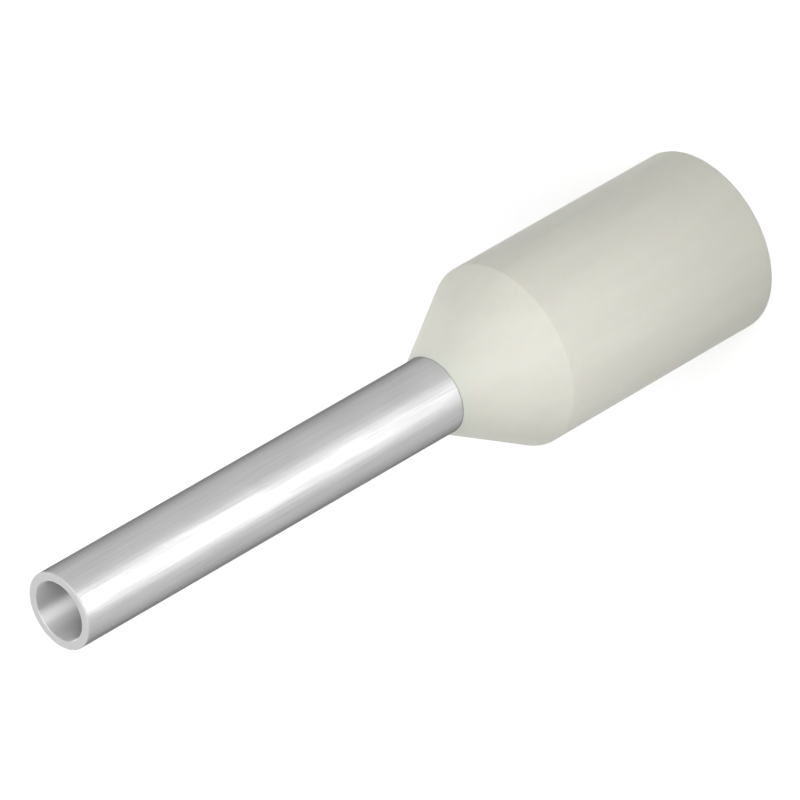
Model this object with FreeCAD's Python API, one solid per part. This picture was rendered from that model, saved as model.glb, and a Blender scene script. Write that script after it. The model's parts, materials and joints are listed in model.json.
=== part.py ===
"""Insulated wire-end ferrule for one fine-stranded conductor of 0.5 square millimetres.

A drawn and tin-plated copper sleeve, flared at its entry, is pressed into a moulded collar until the
flare seats on a cone inside it. The bare strands lie in the sleeve and the insulation in the collar.

Lengths are in millimetres. The ferrule stands on the collar's mouth, with its axis on +Z and the sleeve's
tip up. Each piece is drawn as a half section, of heights above the mouth and radii, and turned about +Z.
"""

import FreeCAD
import Part

import math
import os

# Sleeve: the drawn tube that is crimped on the strands
SLEEVE_BORE_DIAMETER = 1.0
SLEEVE_WALL = 0.15
SLEEVE_EXPOSED_LENGTH = 8.0
SLEEVE_EDGE_ROUND = 0.02

# Flare: the sleeve's funnel, inside the collar
FLARE_BEND_RADIUS = 0.6            # on the outside of the tube
FLARE_PASSING_CLEARANCE = 0.2      # between the rim and the collar's bore that it is pressed in through

# Collar: the moulded sleeve around the insulation
COLLAR_LENGTH = 6.0
COLLAR_BORE_DIAMETER = 2.6
COLLAR_WALL = 0.25
COLLAR_EDGE_ROUND = 0.03
COLLAR_MOUTH_ROUND = 0.08
NOSE_HALF_ANGLE = 30.0             # degrees from the axis
NOSE_RIM = 0.02                    # thickness of the thin front edge around the sleeve
NOSE_EDGE_ROUND = 0.06             # between the nose and the barrel
ENTRY_HALF_ANGLE = 30.0            # degrees from the axis, of the cone that leads strands to the flare
POCKET_CLEARANCE = 0.02            # around the flare's rim

PARTS_FOLDER = "parts"

# Radii and heights, worked out from the sizes above
sleeve_bore = SLEEVE_BORE_DIAMETER / 2
sleeve_outside = sleeve_bore + SLEEVE_WALL
collar_bore = COLLAR_BORE_DIAMETER / 2
collar_outside = collar_bore + COLLAR_WALL
collar_front = COLLAR_LENGTH
sleeve_tip = collar_front + SLEEVE_EXPOSED_LENGTH

nose_angle = math.radians(NOSE_HALF_ANGLE)
nose_slope = math.tan(nose_angle)
nose_front = sleeve_outside + NOSE_RIM
nose_end = collar_front - (collar_outside - nose_front) / nose_slope

# The flare is parallel to the nose, with the collar's wall between them
flare_corner = collar_front - (COLLAR_WALL / math.cos(nose_angle) - NOSE_RIM) / nose_slope
flare_rim = collar_bore - FLARE_PASSING_CLEARANCE
flare_end = flare_corner - (flare_rim - sleeve_outside) / nose_slope
flare_rear = flare_end - SLEEVE_WALL * math.sin(nose_angle)
flare_inner_corner = flare_corner - SLEEVE_WALL * math.tan(nose_angle / 2)
flare_inner_bend = FLARE_BEND_RADIUS + SLEEVE_WALL
sleeve_bore_end = flare_inner_corner + flare_inner_bend * math.tan(nose_angle / 2)

pocket = flare_rim + POCKET_CLEARANCE
pocket_end = flare_rear - POCKET_CLEARANCE
seat_end = flare_corner - (pocket - sleeve_outside) / nose_slope
entry_end = pocket_end - (collar_bore - pocket) / math.tan(math.radians(ENTRY_HALF_ANGLE))


def half_section_point(height, radius):
    """The place of a half section's point, before it is turned about +Z."""
    return FreeCAD.Vector(radius, 0, height)


def rounded_outline(corners):
    """A closed wire through corners of (height, radius, rounding), with a tangent arc at each rounding."""
    edges = []
    first_start = None
    last_end = None
    for i, (height, radius, rounding) in enumerate(corners):
        corner = half_section_point(height, radius)
        before = half_section_point(*corners[i - 1][:2]) - corner
        after = half_section_point(*corners[(i + 1) % len(corners)][:2]) - corner
        before.normalize()
        after.normalize()
        half_angle = before.getAngle(after) / 2
        start = corner
        end = corner
        if rounding > 0:
            start = corner + before * (rounding / math.tan(half_angle))
            end = corner + after * (rounding / math.tan(half_angle))
        if last_end is not None:
            edges.append(Part.LineSegment(last_end, start).toShape())
        if rounding > 0:
            bisector = before + after
            bisector.normalize()
            middle = corner + bisector * (rounding / math.sin(half_angle) - rounding)
            edges.append(Part.Arc(start, middle, end).toShape())
        if first_start is None:
            first_start = start
        last_end = end
    edges.append(Part.LineSegment(last_end, first_start).toShape())
    return Part.Wire(edges)


def turned(corners):
    """The solid that a half section makes when it is turned once about +Z."""
    face = Part.Face(rounded_outline(corners))
    return face.revolve(FreeCAD.Vector(0, 0, 0), FreeCAD.Vector(0, 0, 1), 360)


def contact_sleeve():
    """Drawn tube with a square-cut tip and a flared entry of the same wall."""
    return turned([
        (sleeve_tip, sleeve_outside, SLEEVE_EDGE_ROUND),
        (flare_corner, sleeve_outside, FLARE_BEND_RADIUS),
        (flare_end, flare_rim, SLEEVE_EDGE_ROUND),
        (flare_rear, flare_rim - SLEEVE_WALL * math.cos(nose_angle), SLEEVE_EDGE_ROUND),
        (flare_inner_corner, sleeve_bore, flare_inner_bend),
        (sleeve_tip, sleeve_bore, SLEEVE_EDGE_ROUND),
    ])


def insulating_collar():
    """Moulded collar: conical nose and round barrel, with the flare's seat and the wire's bore inside."""
    return turned([
        (collar_front, sleeve_outside, 0),
        (collar_front, nose_front, 0),
        (nose_end, collar_outside, NOSE_EDGE_ROUND),
        (0, collar_outside, COLLAR_EDGE_ROUND),
        (0, collar_bore, COLLAR_MOUTH_ROUND),
        (entry_end, collar_bore, 0),
        (pocket_end, pocket, 0),
        (seat_end, pocket, 0),
        (flare_corner, sleeve_outside, FLARE_BEND_RADIUS),
    ])


def main():
    """Builds the two pieces and writes one STEP file for each."""
    os.makedirs(PARTS_FOLDER, exist_ok=True)
    pieces = {
        "contact_sleeve": contact_sleeve(),
        "insulating_collar": insulating_collar(),
    }
    for name, piece in pieces.items():
        piece.exportStep(os.path.join(PARTS_FOLDER, name + ".step"))


if __name__ == "__main__":
    main()
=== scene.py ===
"""The looks of an insulated wire-end ferrule that stands on its collar's mouth with the sleeve's tip up.

Two pieces are turned from half sections: the sleeve, a drawn and tin-plated copper tube with a flared
entry, and the moulded collar that it is pressed into. Half sections and finishes are in millimetres, and
heights run up from the collar's mouth. The studio is in metres, as the frame is, and angles are in degrees.
"""

import json
import logging
import math
from dataclasses import dataclass
from enum import Enum
from typing import Union

import bmesh
import bpy
from mathutils import Matrix, Vector


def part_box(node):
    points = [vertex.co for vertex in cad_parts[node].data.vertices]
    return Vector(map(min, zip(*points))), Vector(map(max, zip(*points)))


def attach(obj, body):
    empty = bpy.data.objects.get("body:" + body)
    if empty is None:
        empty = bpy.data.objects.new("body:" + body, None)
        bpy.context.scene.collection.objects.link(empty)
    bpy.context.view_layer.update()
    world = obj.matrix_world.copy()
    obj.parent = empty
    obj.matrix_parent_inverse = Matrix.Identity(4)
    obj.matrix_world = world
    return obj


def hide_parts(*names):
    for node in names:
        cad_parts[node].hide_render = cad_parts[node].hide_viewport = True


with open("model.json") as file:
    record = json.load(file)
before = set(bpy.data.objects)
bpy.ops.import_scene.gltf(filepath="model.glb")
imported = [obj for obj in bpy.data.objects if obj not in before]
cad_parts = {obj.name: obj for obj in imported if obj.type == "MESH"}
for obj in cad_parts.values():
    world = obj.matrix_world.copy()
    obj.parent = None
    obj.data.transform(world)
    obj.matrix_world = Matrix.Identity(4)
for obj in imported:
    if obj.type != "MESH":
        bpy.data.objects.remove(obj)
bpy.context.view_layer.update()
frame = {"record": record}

log = logging.getLogger("ferrule")

MILLIMETRE = 0.001

SPIN_STEPS = 288               # facets around a turned piece
ROUNDING_STEP = 6.0            # degrees that a rounded corner turns at each facet
FEWEST_FACETS = 2              # of a rounded corner
HALF_TURN = 180                # degrees
MERGE_DISTANCE = 1e-5          # millimetres

EVEN = Vector((1, 1, 1))       # the stretch of a pattern that isn't drawn out
NOISE_MIDDLE = 0.5
MIX_COLOURS = (6, 7)           # the numbers of the Mix node's colour inputs
MIX_RESULT = 2                 # and of its colour output

Colour = tuple[float, float, float]
Pair = tuple[float, float]
Paint = Union[Colour, bpy.types.NodeSocket]

WHITE = (1, 1, 1, 1)
MATERIAL_OUTPUT = "ShaderNodeOutputMaterial"


class Node(Enum):
    """Nodes of the construction that the pieces here stand for."""

    SLEEVE = "contact_sleeve"
    COLLAR = "insulating_collar"


class Slot(Enum):
    """Material slots of the record."""

    TIN = "tinned_copper"
    PLASTIC = "collar_plastic"


class Mount(Enum):
    """Mounts of the record that a size is read from."""

    CONDUCTOR_BORE = "conductor_bore"
    TERMINAL_PIN = "terminal_pin"
    WIRE_ENTRY = "wire_entry"


class Ray(Enum):
    """Kinds of ray that see the white backdrop."""

    CAMERA = "Is Camera Ray"
    GLOSSY = "Is Glossy Ray"
    TRANSMISSION = "Is Transmission Ray"


def mount_radius(mount: Mount) -> float:
    """The radius of one of the record's round mounts.

    Args:
        mount: the mount to look up.

    Returns:
        Its radius in millimetres.
    """
    found = next(entry for entry in frame["record"]["mounts"] if entry["name"] == mount.value)
    return found["dims"]["r_mm"]


def node_top(node: Node) -> Vector:
    """The highest corner of a node's box.

    Args:
        node: the node to look up.

    Returns:
        The corner in millimetres.
    """
    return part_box(node.value)[1] / MILLIMETRE


@dataclass(frozen=True)
class Term:
    """A number in a shader's maths: operators on it add Math nodes to its tree."""

    shader: "Shader"
    socket: bpy.types.NodeSocket

    def __add__(self, other: "Number") -> "Term":
        """This plus another number."""
        return self.shader.maths("ADD", self, other)

    def __sub__(self, other: "Number") -> "Term":
        """This less another number."""
        return self.shader.maths("SUBTRACT", self, other)

    def __rsub__(self, other: "Number") -> "Term":
        """Another number less this."""
        return self.shader.maths("SUBTRACT", other, self)

    def __mul__(self, other: "Number") -> "Term":
        """This times another number."""
        return self.shader.maths("MULTIPLY", self, other)

    __radd__ = __add__
    __rmul__ = __mul__


Number = Union[Term, float]


class Shader:
    """The node tree of a material or of the world."""

    def __init__(self, owner: Union[bpy.types.Material, bpy.types.World]) -> None:
        """Empties the owner's node tree.

        Args:
            owner: the material or world whose tree this is.
        """
        owner.use_nodes = True
        self.tree = owner.node_tree
        self.tree.nodes.clear()

    def node(self, kind: str, settings: dict, inputs: dict) -> bpy.types.Node:
        """Adds a node.

        Args:
            kind: the node's type.
            settings: the node's properties, which are set before its sockets.
            inputs: a value, a term or an output socket for each input, by the input's name or number.

        Returns:
            The new node.
        """
        made = self.tree.nodes.new(kind)
        for name, value in settings.items():
            setattr(made, name, value)
        for name, value in inputs.items():
            source = value.socket if isinstance(value, Term) else value
            if isinstance(source, bpy.types.NodeSocket):
                self.tree.links.new(source, made.inputs[name])
            else:
                made.inputs[name].default_value = source
        return made

    def maths(self, operation: str, first: Number, second: Number) -> Term:
        """Adds a Math node.

        Args:
            operation: the node's operation.
            first: its first number.
            second: its second number.

        Returns:
            The result.
        """
        made = self.node("ShaderNodeMath", {"operation": operation}, {0: first, 1: second})
        return Term(self, made.outputs[0])

    def place(self, stretch: Vector) -> bpy.types.NodeSocket:
        """The place on the piece in millimetres, stretched or squeezed along each axis.

        Args:
            stretch: how much the place counts along X, Y and Z: below 1 draws a pattern out.

        Returns:
            The stretched place.
        """
        where = self.node("ShaderNodeTexCoord", {}, {})
        scale = tuple(stretch / MILLIMETRE)
        made = self.node("ShaderNodeMapping", {}, {"Vector": where.outputs["Object"], "Scale": scale})
        return made.outputs[0]

    def height(self) -> Term:
        """The height on the piece, in millimetres above the mouth."""
        split = self.node("ShaderNodeSeparateXYZ", {}, {0: self.place(EVEN)})
        return Term(self, split.outputs["Z"])

    def noise(self, stretch: Vector, grain: float, detail: float) -> Term:
        """Soft noise around its middle.

        Args:
            stretch: how much the place counts along each axis.
            grain: millimetres from one soft spot to the next, where the stretch is 1.
            detail: how many finer layers are added.

        Returns:
            The noise.
        """
        inputs = {"Vector": self.place(stretch), "Scale": 1 / grain, "Detail": detail}
        return Term(self, self.node("ShaderNodeTexNoise", {}, inputs).outputs[0])

    def ramp(self, value: Term, low: float, high: float) -> Term:
        """A smooth step from 0 to 1.

        Args:
            value: the number that the step follows.
            low: the value where the step starts.
            high: the value where it ends.

        Returns:
            The step.
        """
        settings = {"interpolation_type": "SMOOTHSTEP"}
        made = self.node("ShaderNodeMapRange", settings, {"Value": value, "From Min": low, "From Max": high})
        return Term(self, made.outputs[0])

    def blend(self, share: Term, first: Paint, second: Paint) -> bpy.types.NodeSocket:
        """Blends two colours, each of them plain or blended before.

        Args:
            share: how much of the second colour there is.
            first: the colour where the share is 0.
            second: the colour where it is 1.

        Returns:
            The blended colour.
        """
        inputs = {0: share}
        for number, colour in zip(MIX_COLOURS, (first, second)):
            inputs[number] = (*colour, 1) if isinstance(colour, tuple) else colour
        return self.node("ShaderNodeMix", {"data_type": "RGBA"}, inputs).outputs[MIX_RESULT]

    def bump(self, relief: Term, depth: float) -> bpy.types.NodeSocket:
        """The surface's normal, tilted by a relief.

        Args:
            relief: the relief, where 1 is the full depth.
            depth: the full depth in millimetres.

        Returns:
            The normal.
        """
        inputs = {"Strength": 1.0, "Distance": depth * MILLIMETRE, "Height": relief}
        return self.node("ShaderNodeBump", {}, inputs).outputs[0]

    def seen(self) -> Term:
        """1 for the rays that see the white backdrop and floor, and 0 for those that are lit by them."""
        path = self.node("ShaderNodeLightPath", {}, {})
        kinds = [Term(self, path.outputs[ray.value]) for ray in Ray]
        return self.ramp(sum(kinds[1:], kinds[0]), 0.0, 1.0)

    def surface(self, shader: bpy.types.Node, output: str) -> None:
        """Ends the tree in an output.

        Args:
            shader: the last shader node.
            output: the type of the output node.
        """
        self.node(output, {}, {"Surface": shader.outputs[0]})


@dataclass(frozen=True)
class TinPlating:
    """Matt tin on the outside of a drawn tube: lines along the draw, a faint clouding and a dull cut end."""

    clear: Colour = (0.505, 0.505, 0.505)
    clouded: Colour = (0.445, 0.445, 0.450)
    cut: Colour = (0.55, 0.55, 0.55)
    grazing_tint: Colour = (0.06, 0.06, 0.06)
    roughness: float = 0.41
    line_roughness: float = 0.3
    cloud_roughness: float = 0.1
    cut_roughness: float = 0.25
    line_width: float = 0.03
    line_stretch: float = 0.02
    line_detail: float = 2.0
    line_span: Pair = (0.35, 0.65)
    line_depth: float = 0.0016
    line_shade: float = 0.5
    cloud_size: float = 0.7
    cloud_stretch: float = 0.5
    cloud_detail: float = 4.0
    cloud_span: Pair = (0.35, 0.7)
    cut_length: float = 0.05

    def material(self, tip: float) -> bpy.types.Material:
        """Makes the finish.

        Args:
            tip: the height of the tube's cut end, in millimetres.

        Returns:
            The material.
        """
        made = bpy.data.materials.new("tin plating")
        shader = Shader(made)
        lines = shader.noise(Vector((1, 1, self.line_stretch)), self.line_width, self.line_detail)
        clouds = shader.noise(Vector((1, 1, self.cloud_stretch)), self.cloud_size, self.cloud_detail)
        cut = shader.ramp(shader.height(), tip - self.cut_length, tip)
        drawn = (lines - NOISE_MIDDLE) * (1 - cut)
        shade = (
            shader.ramp(clouds, *self.cloud_span) * (1 - self.line_shade)
            + shader.ramp(lines, *self.line_span) * self.line_shade
        )
        roughness = (
            self.roughness
            + drawn * self.line_roughness
            + (clouds - NOISE_MIDDLE) * self.cloud_roughness
            + cut * self.cut_roughness
        )
        shader.surface(
            shader.node("ShaderNodeBsdfPrincipled", {}, {
                "Base Color": shader.blend(cut, shader.blend(shade, self.clear, self.clouded), self.cut),
                "Metallic": 1.0,
                "Roughness": roughness,
                "Specular Tint": (*self.grazing_tint, 1),
                "Normal": shader.bump(drawn, self.line_depth),
            }),
            MATERIAL_OUTPUT,
        )
        return made


@dataclass(frozen=True)
class BoreTin:
    """Tin in the tube's bore, finely scored around it: painted light makes it paler than the outside tin,
    and painted shade darkens it further in.
    """

    # painted light: the bore's colour at the cut end, paler than the outside tin of the same tube
    mouth: Colour = (0.75, 0.75, 0.75)
    # painted shade: the darker colour further into the bore
    depth: Colour = (0.62, 0.62, 0.62)
    # millimetres over which the painted shade comes in
    painted_shade_length: float = 1.1
    roughness: float = 0.6
    score_roughness: float = 0.15
    score_width: float = 0.08
    score_stretch: float = 0.15
    score_detail: float = 2.0
    scoring: float = 1.0
    score_turn: float = 0.25       # full turns

    def material(self, tip: float) -> bpy.types.Material:
        """Makes the finish.

        Args:
            tip: the height of the tube's cut end, in millimetres.

        Returns:
            The material.
        """
        made = bpy.data.materials.new("bore tin")
        shader = Shader(made)
        stretch = Vector((self.score_stretch, self.score_stretch, 1))
        scores = shader.noise(stretch, self.score_width, self.score_detail)
        # painted shade: the bore's colour darkens from the cut end inwards
        inside = shader.ramp(shader.height(), tip, tip - self.painted_shade_length)
        shader.surface(
            shader.node("ShaderNodeBsdfPrincipled", {}, {
                "Base Color": shader.blend(inside, self.mouth, self.depth),
                "Metallic": 1.0,
                "Roughness": self.roughness + (scores - NOISE_MIDDLE) * self.score_roughness,
                "Anisotropic": self.scoring,
                "Anisotropic Rotation": self.score_turn,
            }),
            MATERIAL_OUTPUT,
        )
        return made


@dataclass(frozen=True)
class MouldedPlastic:
    """Ivory polypropylene from a finely textured mould, with faint streaks along its flow."""

    pale: Colour = (0.785, 0.779, 0.699)
    deep: Colour = (0.761, 0.755, 0.676)
    gloss: float = 0.3
    roughness: float = 0.52
    streak_roughness: float = 0.06
    grain_size: float = 0.035
    grain_detail: float = 3.0
    grain_depth: float = 0.004
    streak_width: float = 0.35
    streak_stretch: float = 0.15
    streak_detail: float = 3.0
    streak_span: Pair = (0.3, 0.7)
    scatter_weight: float = 0.15
    scatter_depth: float = 0.3

    def material(self) -> bpy.types.Material:
        """Makes the finish.

        Returns:
            The material.
        """
        made = bpy.data.materials.new("ivory moulded plastic")
        shader = Shader(made)
        streaks = shader.noise(Vector((1, 1, self.streak_stretch)), self.streak_width, self.streak_detail)
        grain = shader.noise(EVEN, self.grain_size, self.grain_detail)
        shader.surface(
            shader.node("ShaderNodeBsdfPrincipled", {}, {
                "Base Color": shader.blend(shader.ramp(streaks, *self.streak_span), self.pale, self.deep),
                "Roughness": self.roughness + (streaks - NOISE_MIDDLE) * self.streak_roughness,
                "Specular IOR Level": self.gloss,
                "Subsurface Weight": self.scatter_weight,
                "Subsurface Scale": self.scatter_depth * MILLIMETRE,
                "Normal": shader.bump(grain, self.grain_depth),
            }),
            MATERIAL_OUTPUT,
        )
        return made


@dataclass(frozen=True)
class FloorPaint:
    """Plain pale paint that is lit up to white for what looks at it, and keeps its shadows."""

    colour: Colour = (0.7, 0.7, 0.7)
    glow: float = 0.5

    def material(self) -> bpy.types.Material:
        """Makes the finish.

        Returns:
            The material.
        """
        made = bpy.data.materials.new("pale floor")
        shader = Shader(made)
        paint = shader.node("ShaderNodeBsdfDiffuse", {}, {"Color": (*self.colour, 1)})
        strength = shader.seen() * self.glow
        light = shader.node("ShaderNodeEmission", {}, {"Color": WHITE, "Strength": strength})
        both = shader.node("ShaderNodeAddShader", {}, {0: paint.outputs[0], 1: light.outputs[0]})
        shader.surface(both, MATERIAL_OUTPUT)
        return made


@dataclass(frozen=True)
class Corner:
    """A corner of a half section, in millimetres."""

    height: float
    radius: float
    rounding: float = 0.0


def round_corner(section: bmesh.types.BMesh, vertex: bmesh.types.BMVert, rounding: float) -> None:
    """Rounds a corner of a flat section with a tangent arc.

    Args:
        section: the mesh that holds the section.
        vertex: the corner.
        rounding: the arc's radius, in the mesh's units.
    """
    one_side, other_side = (edge.other_vert(vertex).co - vertex.co for edge in vertex.link_edges)
    inside = one_side.angle(other_side)
    turn = HALF_TURN - math.degrees(inside)
    bmesh.ops.bevel(
        section,
        geom=[vertex],
        offset=rounding / math.tan(inside / 2),
        offset_type="OFFSET",
        segments=max(FEWEST_FACETS, round(turn / ROUNDING_STEP)),
        profile=0.5,
        affect="VERTICES",
        material=-1,
    )


def added(name: str, data: bpy.types.ID) -> bpy.types.Object:
    """Adds an object to the scene.

    Args:
        name: the object's name.
        data: its mesh, lamp or camera.

    Returns:
        The object.
    """
    made = bpy.data.objects.new(name, data)
    bpy.context.scene.collection.objects.link(made)
    return made


def turned_piece(name: str, corners: list[Corner]) -> bpy.types.Object:
    """Turns a half section once about +Z into a closed, smoothly shaded piece.

    Args:
        name: the piece's name.
        corners: the half section's corners in order.

    Returns:
        The piece, with its mesh in metres.
    """
    section = bmesh.new()
    vertices = [section.verts.new((corner.radius, 0, corner.height)) for corner in corners]
    section.faces.new(vertices)
    for vertex, corner in zip(vertices, corners):
        if corner.rounding > 0:
            round_corner(section, vertex, corner.rounding)
    bmesh.ops.delete(section, geom=section.faces[:], context="FACES_ONLY")
    bmesh.ops.spin(
        section,
        geom=section.verts[:] + section.edges[:],
        cent=(0, 0, 0),
        axis=(0, 0, 1),
        angle=math.tau,
        steps=SPIN_STEPS,
        use_merge=True,
    )
    bmesh.ops.remove_doubles(section, verts=section.verts[:], dist=MERGE_DISTANCE)
    bmesh.ops.recalc_face_normals(section, faces=section.faces[:])
    bmesh.ops.scale(section, vec=(MILLIMETRE,) * 3, verts=section.verts[:])
    for face in section.faces:
        face.smooth = True
    mesh = bpy.data.meshes.new(name)
    section.to_mesh(mesh)
    section.free()
    piece = added(name, mesh)
    piece.modifiers.new("flat faces shade flat", "WEIGHTED_NORMAL")
    return piece


@dataclass(frozen=True)
class PressFit:
    """Where the sleeve's flare sits in the collar's nose, in millimetres and degrees."""

    sleeve_bore: float
    sleeve_outside: float
    collar_bore: float
    collar_outside: float
    collar_front: float
    nose_half_angle: float = 30.0
    nose_rim: float = 0.02
    bend_radius: float = 0.6
    passing_clearance: float = 0.2

    @property
    def angle(self) -> float:
        """The nose's half angle in radians."""
        return math.radians(self.nose_half_angle)

    @property
    def slope(self) -> float:
        """How much a cone's radius grows for each millimetre down."""
        return math.tan(self.angle)

    @property
    def sleeve_wall(self) -> float:
        """The thickness of the sleeve."""
        return self.sleeve_outside - self.sleeve_bore

    @property
    def corner(self) -> float:
        """The height where the tube's outside would meet the flare's, were it not bent."""
        wall = self.collar_outside - self.collar_bore
        return self.collar_front - (wall / math.cos(self.angle) - self.nose_rim) / self.slope

    @property
    def rim(self) -> float:
        """The flare's largest radius."""
        return self.collar_bore - self.passing_clearance

    @property
    def rim_top(self) -> float:
        """The height where the flare's outside ends."""
        return self.cone_height(self.rim)

    @property
    def rim_bottom(self) -> float:
        """The height of the flare's lowest edge."""
        return self.rim_top - self.sleeve_wall * math.sin(self.angle)

    def cone_height(self, radius: float) -> float:
        """The height of the seat's cone at a radius."""
        return self.corner - (radius - self.sleeve_outside) / self.slope


@dataclass
class ContactSleeve:
    """The drawn tube with its flared entry, in millimetres."""

    fit: PressFit
    tip: float
    outside_finish: TinPlating
    bore_finish: BoreTin
    edge_round: float = 0.02
    bore_facing: float = 0.8       # how squarely a face of the bore looks towards the axis

    def outline(self) -> list[Corner]:
        """The half section's corners, from the tip down the outside and back up the bore."""
        fit = self.fit
        inner_corner = fit.corner - fit.sleeve_wall * math.tan(fit.angle / 2)
        inner_rim = fit.rim - fit.sleeve_wall * math.cos(fit.angle)
        return [
            Corner(self.tip, fit.sleeve_outside, self.edge_round),
            Corner(fit.corner, fit.sleeve_outside, fit.bend_radius),
            Corner(fit.rim_top, fit.rim, self.edge_round),
            Corner(fit.rim_bottom, inner_rim, self.edge_round),
            Corner(inner_corner, fit.sleeve_bore, fit.bend_radius + fit.sleeve_wall),
            Corner(self.tip, fit.sleeve_bore, self.edge_round),
        ]

    def build(self) -> bpy.types.Object:
        """Turns the sleeve and puts it in the place of its node.

        Returns:
            The finished piece.
        """
        piece = turned_piece("drawn_sleeve", self.outline())
        self.dress(piece)
        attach(piece, "root")
        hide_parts(Node.SLEEVE.value)
        return piece

    def dress(self, piece: bpy.types.Object) -> None:
        """Gives the sleeve its finishes: the faces that look towards the axis are the bore's.

        Args:
            piece: the sleeve.
        """
        materials = piece.data.materials
        materials.append(self.outside_finish.material(self.tip))
        materials.append(self.bore_finish.material(self.tip))
        bore = len(materials) - 1
        for face in piece.data.polygons:
            inward = -Vector((face.center.x, face.center.y, 0)).normalized()
            if face.normal.dot(inward) > self.bore_facing:
                face.material_index = bore


@dataclass
class InsulatingCollar:
    """The moulded collar with its conical nose and plain barrel, in millimetres and degrees."""

    fit: PressFit
    finish: MouldedPlastic
    edge_round: float = 0.03
    mouth_round: float = 0.08
    nose_round: float = 0.06
    entry_half_angle: float = 30.0
    pocket_clearance: float = 0.02

    def outline(self) -> list[Corner]:
        """The half section's corners, from the nose down the outside and back up the bore."""
        fit = self.fit
        nose_front = fit.sleeve_outside + fit.nose_rim
        nose_end = fit.collar_front - (fit.collar_outside - nose_front) / fit.slope
        pocket = fit.rim + self.pocket_clearance
        pocket_end = fit.rim_bottom - self.pocket_clearance
        entry_end = pocket_end - (fit.collar_bore - pocket) / math.tan(math.radians(self.entry_half_angle))
        return [
            Corner(fit.collar_front, fit.sleeve_outside),
            Corner(fit.collar_front, nose_front),
            Corner(nose_end, fit.collar_outside, self.nose_round),
            Corner(0, fit.collar_outside, self.edge_round),
            Corner(0, fit.collar_bore, self.mouth_round),
            Corner(entry_end, fit.collar_bore),
            Corner(pocket_end, pocket),
            Corner(fit.cone_height(pocket), pocket),
            Corner(fit.corner, fit.sleeve_outside, fit.bend_radius),
        ]

    def build(self) -> bpy.types.Object:
        """Turns the collar and puts it in the place of its node.

        Returns:
            The finished piece.
        """
        piece = turned_piece("moulded_collar", self.outline())
        self.dress(piece)
        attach(piece, "root")
        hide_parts(Node.COLLAR.value)
        return piece

    def dress(self, piece: bpy.types.Object) -> None:
        """Gives the collar its finish.

        Args:
            piece: the collar.
        """
        piece.data.materials.append(self.finish.material())


def direction(azimuth: float, elevation: float) -> Vector:
    """The direction from the ferrule to a place around it.

    Args:
        azimuth: degrees around, where 0 is -Y and 90 is +X.
        elevation: degrees above the floor.

    Returns:
        A vector of length 1.
    """
    around, up = math.radians(azimuth), math.radians(elevation)
    return Vector((math.sin(around) * math.cos(up), -math.cos(around) * math.cos(up), math.sin(up)))


@dataclass(frozen=True)
class SoftLamp:
    """A far and wide studio lamp. At strength 1, a white surface that faces it renders white."""

    name: str
    azimuth: float
    elevation: float
    width: float                   # the angle that it fills
    strength: float

    def build(self) -> None:
        """Adds the lamp."""
        lamp = bpy.data.lights.new(self.name, "SUN")
        lamp.energy = self.strength * math.pi
        lamp.angle = math.radians(self.width)
        stand = added(self.name, lamp)
        stand.rotation_euler = direction(self.azimuth, self.elevation).to_track_quat("Z", "Y").to_euler()


@dataclass(frozen=True)
class FloorLamp:
    """A lamp above the floor in front of the ferrule, whose pool of light is mirrored in the tube."""

    name: str
    azimuth: float
    distance: float
    height: float
    cone: float
    softness: float                # how much of the cone fades out
    power: float                   # watts
    size: float = 0.004

    def build(self) -> None:
        """Adds the lamp, pointing straight down."""
        lamp = bpy.data.lights.new(self.name, "SPOT")
        lamp.energy = self.power
        lamp.spot_size = math.radians(self.cone)
        lamp.spot_blend = self.softness
        lamp.shadow_soft_size = self.size
        stand = added(self.name, lamp)
        stand.location = direction(self.azimuth, 0) * self.distance + Vector((0, 0, self.height))


@dataclass(frozen=True)
class PhotoCamera:
    """The camera that the photograph was fitted with. Its picture is square."""

    picture: float = 800.0                        # pixels across
    focal_length: float = 10488.9                 # pixels
    sensor: float = 36.0                          # millimetres
    elevation: float = 35.218                     # degrees
    roll: float = -119.934                        # degrees
    tip_depth: float = 0.157978                   # metres in front of the camera
    tip_pixel: Pair = (58.6, 611.5)               # pixels across and down
    nearness: float = 10                          # how many times nearer than the tip its view starts

    def build(self, tip: Vector) -> None:
        """Adds the camera and makes it the scene's.

        Args:
            tip: the centre of the tube's cut end, which falls on its pixel.
        """
        backward = direction(0, self.elevation)
        level = Vector((1, 0, 0))
        turn = Matrix.Rotation(math.radians(self.roll), 3, backward)
        right = turn @ level
        up = turn @ backward.cross(level)
        metres_per_pixel = self.tip_depth / self.focal_length
        across, down = ((pixel - self.picture / 2) * metres_per_pixel for pixel in self.tip_pixel)
        place = tip - right * across + up * down + backward * self.tip_depth
        data = bpy.data.cameras.new("camera")
        data.sensor_width = self.sensor
        data.lens = self.focal_length * self.sensor / self.picture
        data.clip_start = self.tip_depth / self.nearness
        camera = added("camera", data)
        camera.matrix_world = Matrix.Translation(place) @ Matrix((right, up, backward)).transposed().to_4x4()
        bpy.context.scene.camera = camera


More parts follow.
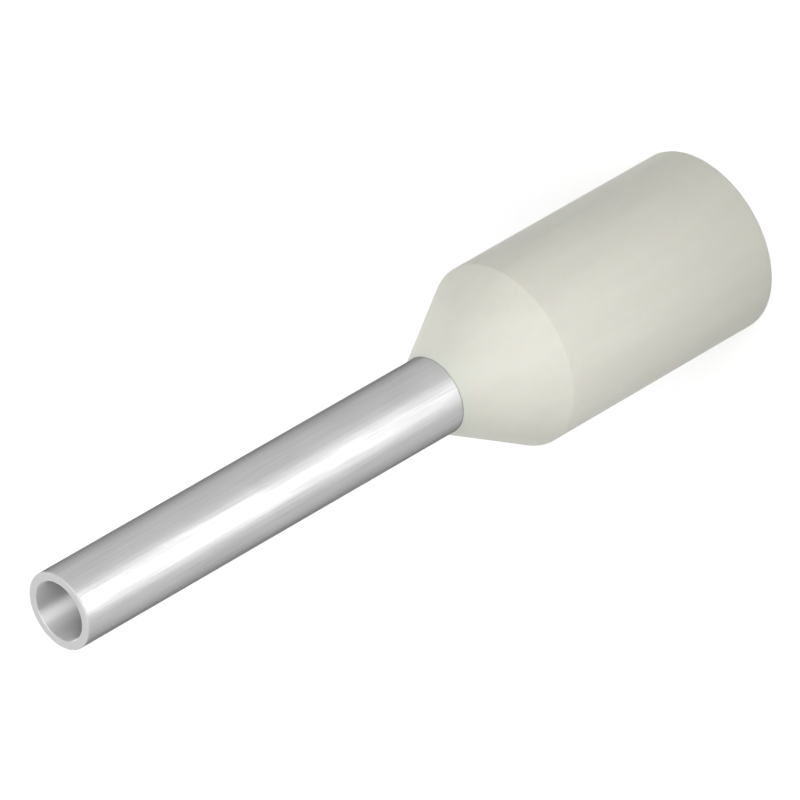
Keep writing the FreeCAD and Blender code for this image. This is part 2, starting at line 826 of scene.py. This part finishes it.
@dataclass(frozen=True)
class Studio:
    """A pale floor, a white backdrop that lights the ferrule softly, the lamps and the camera."""

    paint: FloorPaint
    lamps: tuple[Union[SoftLamp, FloorLamp], ...]
    camera: PhotoCamera
    floor_size: float = 4.0
    backdrop_glow: float = 0.2

    def build(self, tip: Vector) -> None:
        """Builds the studio around the ferrule.

        Args:
            tip: the centre of the tube's cut end.
        """
        self.build_floor()
        self.build_backdrop()
        for lamp in self.lamps:
            lamp.build()
        self.camera.build(tip)
        bpy.context.scene.view_settings.view_transform = "Standard"

    def build_floor(self) -> None:
        """Lays the floor under the mouth."""
        grid = bmesh.new()
        bmesh.ops.create_grid(grid, x_segments=1, y_segments=1, size=self.floor_size / 2)
        mesh = bpy.data.meshes.new("floor")
        grid.to_mesh(mesh)
        grid.free()
        mesh.materials.append(self.paint.material())
        floor = added("floor", mesh)

    def build_backdrop(self) -> None:
        """Makes the world white to what looks at it, and dimmer as a light."""
        world = bpy.data.worlds.new("backdrop")
        bpy.context.scene.world = world
        shader = Shader(world)
        strength = self.backdrop_glow + shader.seen() * (1 - self.backdrop_glow)
        glow = shader.node("ShaderNodeBackground", {}, {"Color": WHITE, "Strength": strength})
        shader.surface(glow, "ShaderNodeOutputWorld")


def main() -> None:
    """Builds the ferrule and the studio in order."""
    logging.basicConfig(level=logging.INFO, format="%(message)s")
    collar_top = node_top(Node.COLLAR)
    tip = node_top(Node.SLEEVE).z
    fit = PressFit(
        sleeve_bore=mount_radius(Mount.CONDUCTOR_BORE),
        sleeve_outside=mount_radius(Mount.TERMINAL_PIN),
        collar_bore=mount_radius(Mount.WIRE_ENTRY),
        collar_outside=collar_top.x,
        collar_front=collar_top.z,
    )
    for part in (ContactSleeve(fit, tip, TinPlating(), BoreTin()), InsulatingCollar(fit, MouldedPlastic())):
        piece = part.build()
        log.info("%s: %d faces", piece.name, len(piece.data.polygons))
    studio = Studio(
        paint=FloorPaint(),
        lamps=(
            SoftLamp("front softbox", azimuth=-10, elevation=49, width=40, strength=0.35),
            SoftLamp("overhead softbox", azimuth=30, elevation=70, width=50, strength=0.32),
            SoftLamp("left back softbox", azimuth=-168, elevation=4, width=30, strength=0.28),
            SoftLamp("right back softbox", azimuth=150, elevation=4, width=30, strength=0.3),
            FloorLamp("floor lamp", azimuth=-17, distance=0.023, height=0.08, cone=21.5, softness=0.8,
                      power=1.06),
        ),
        camera=PhotoCamera(),
    )
    studio.build(Vector((0, 0, tip * MILLIMETRE)))


if __name__ == "__main__":
    main()
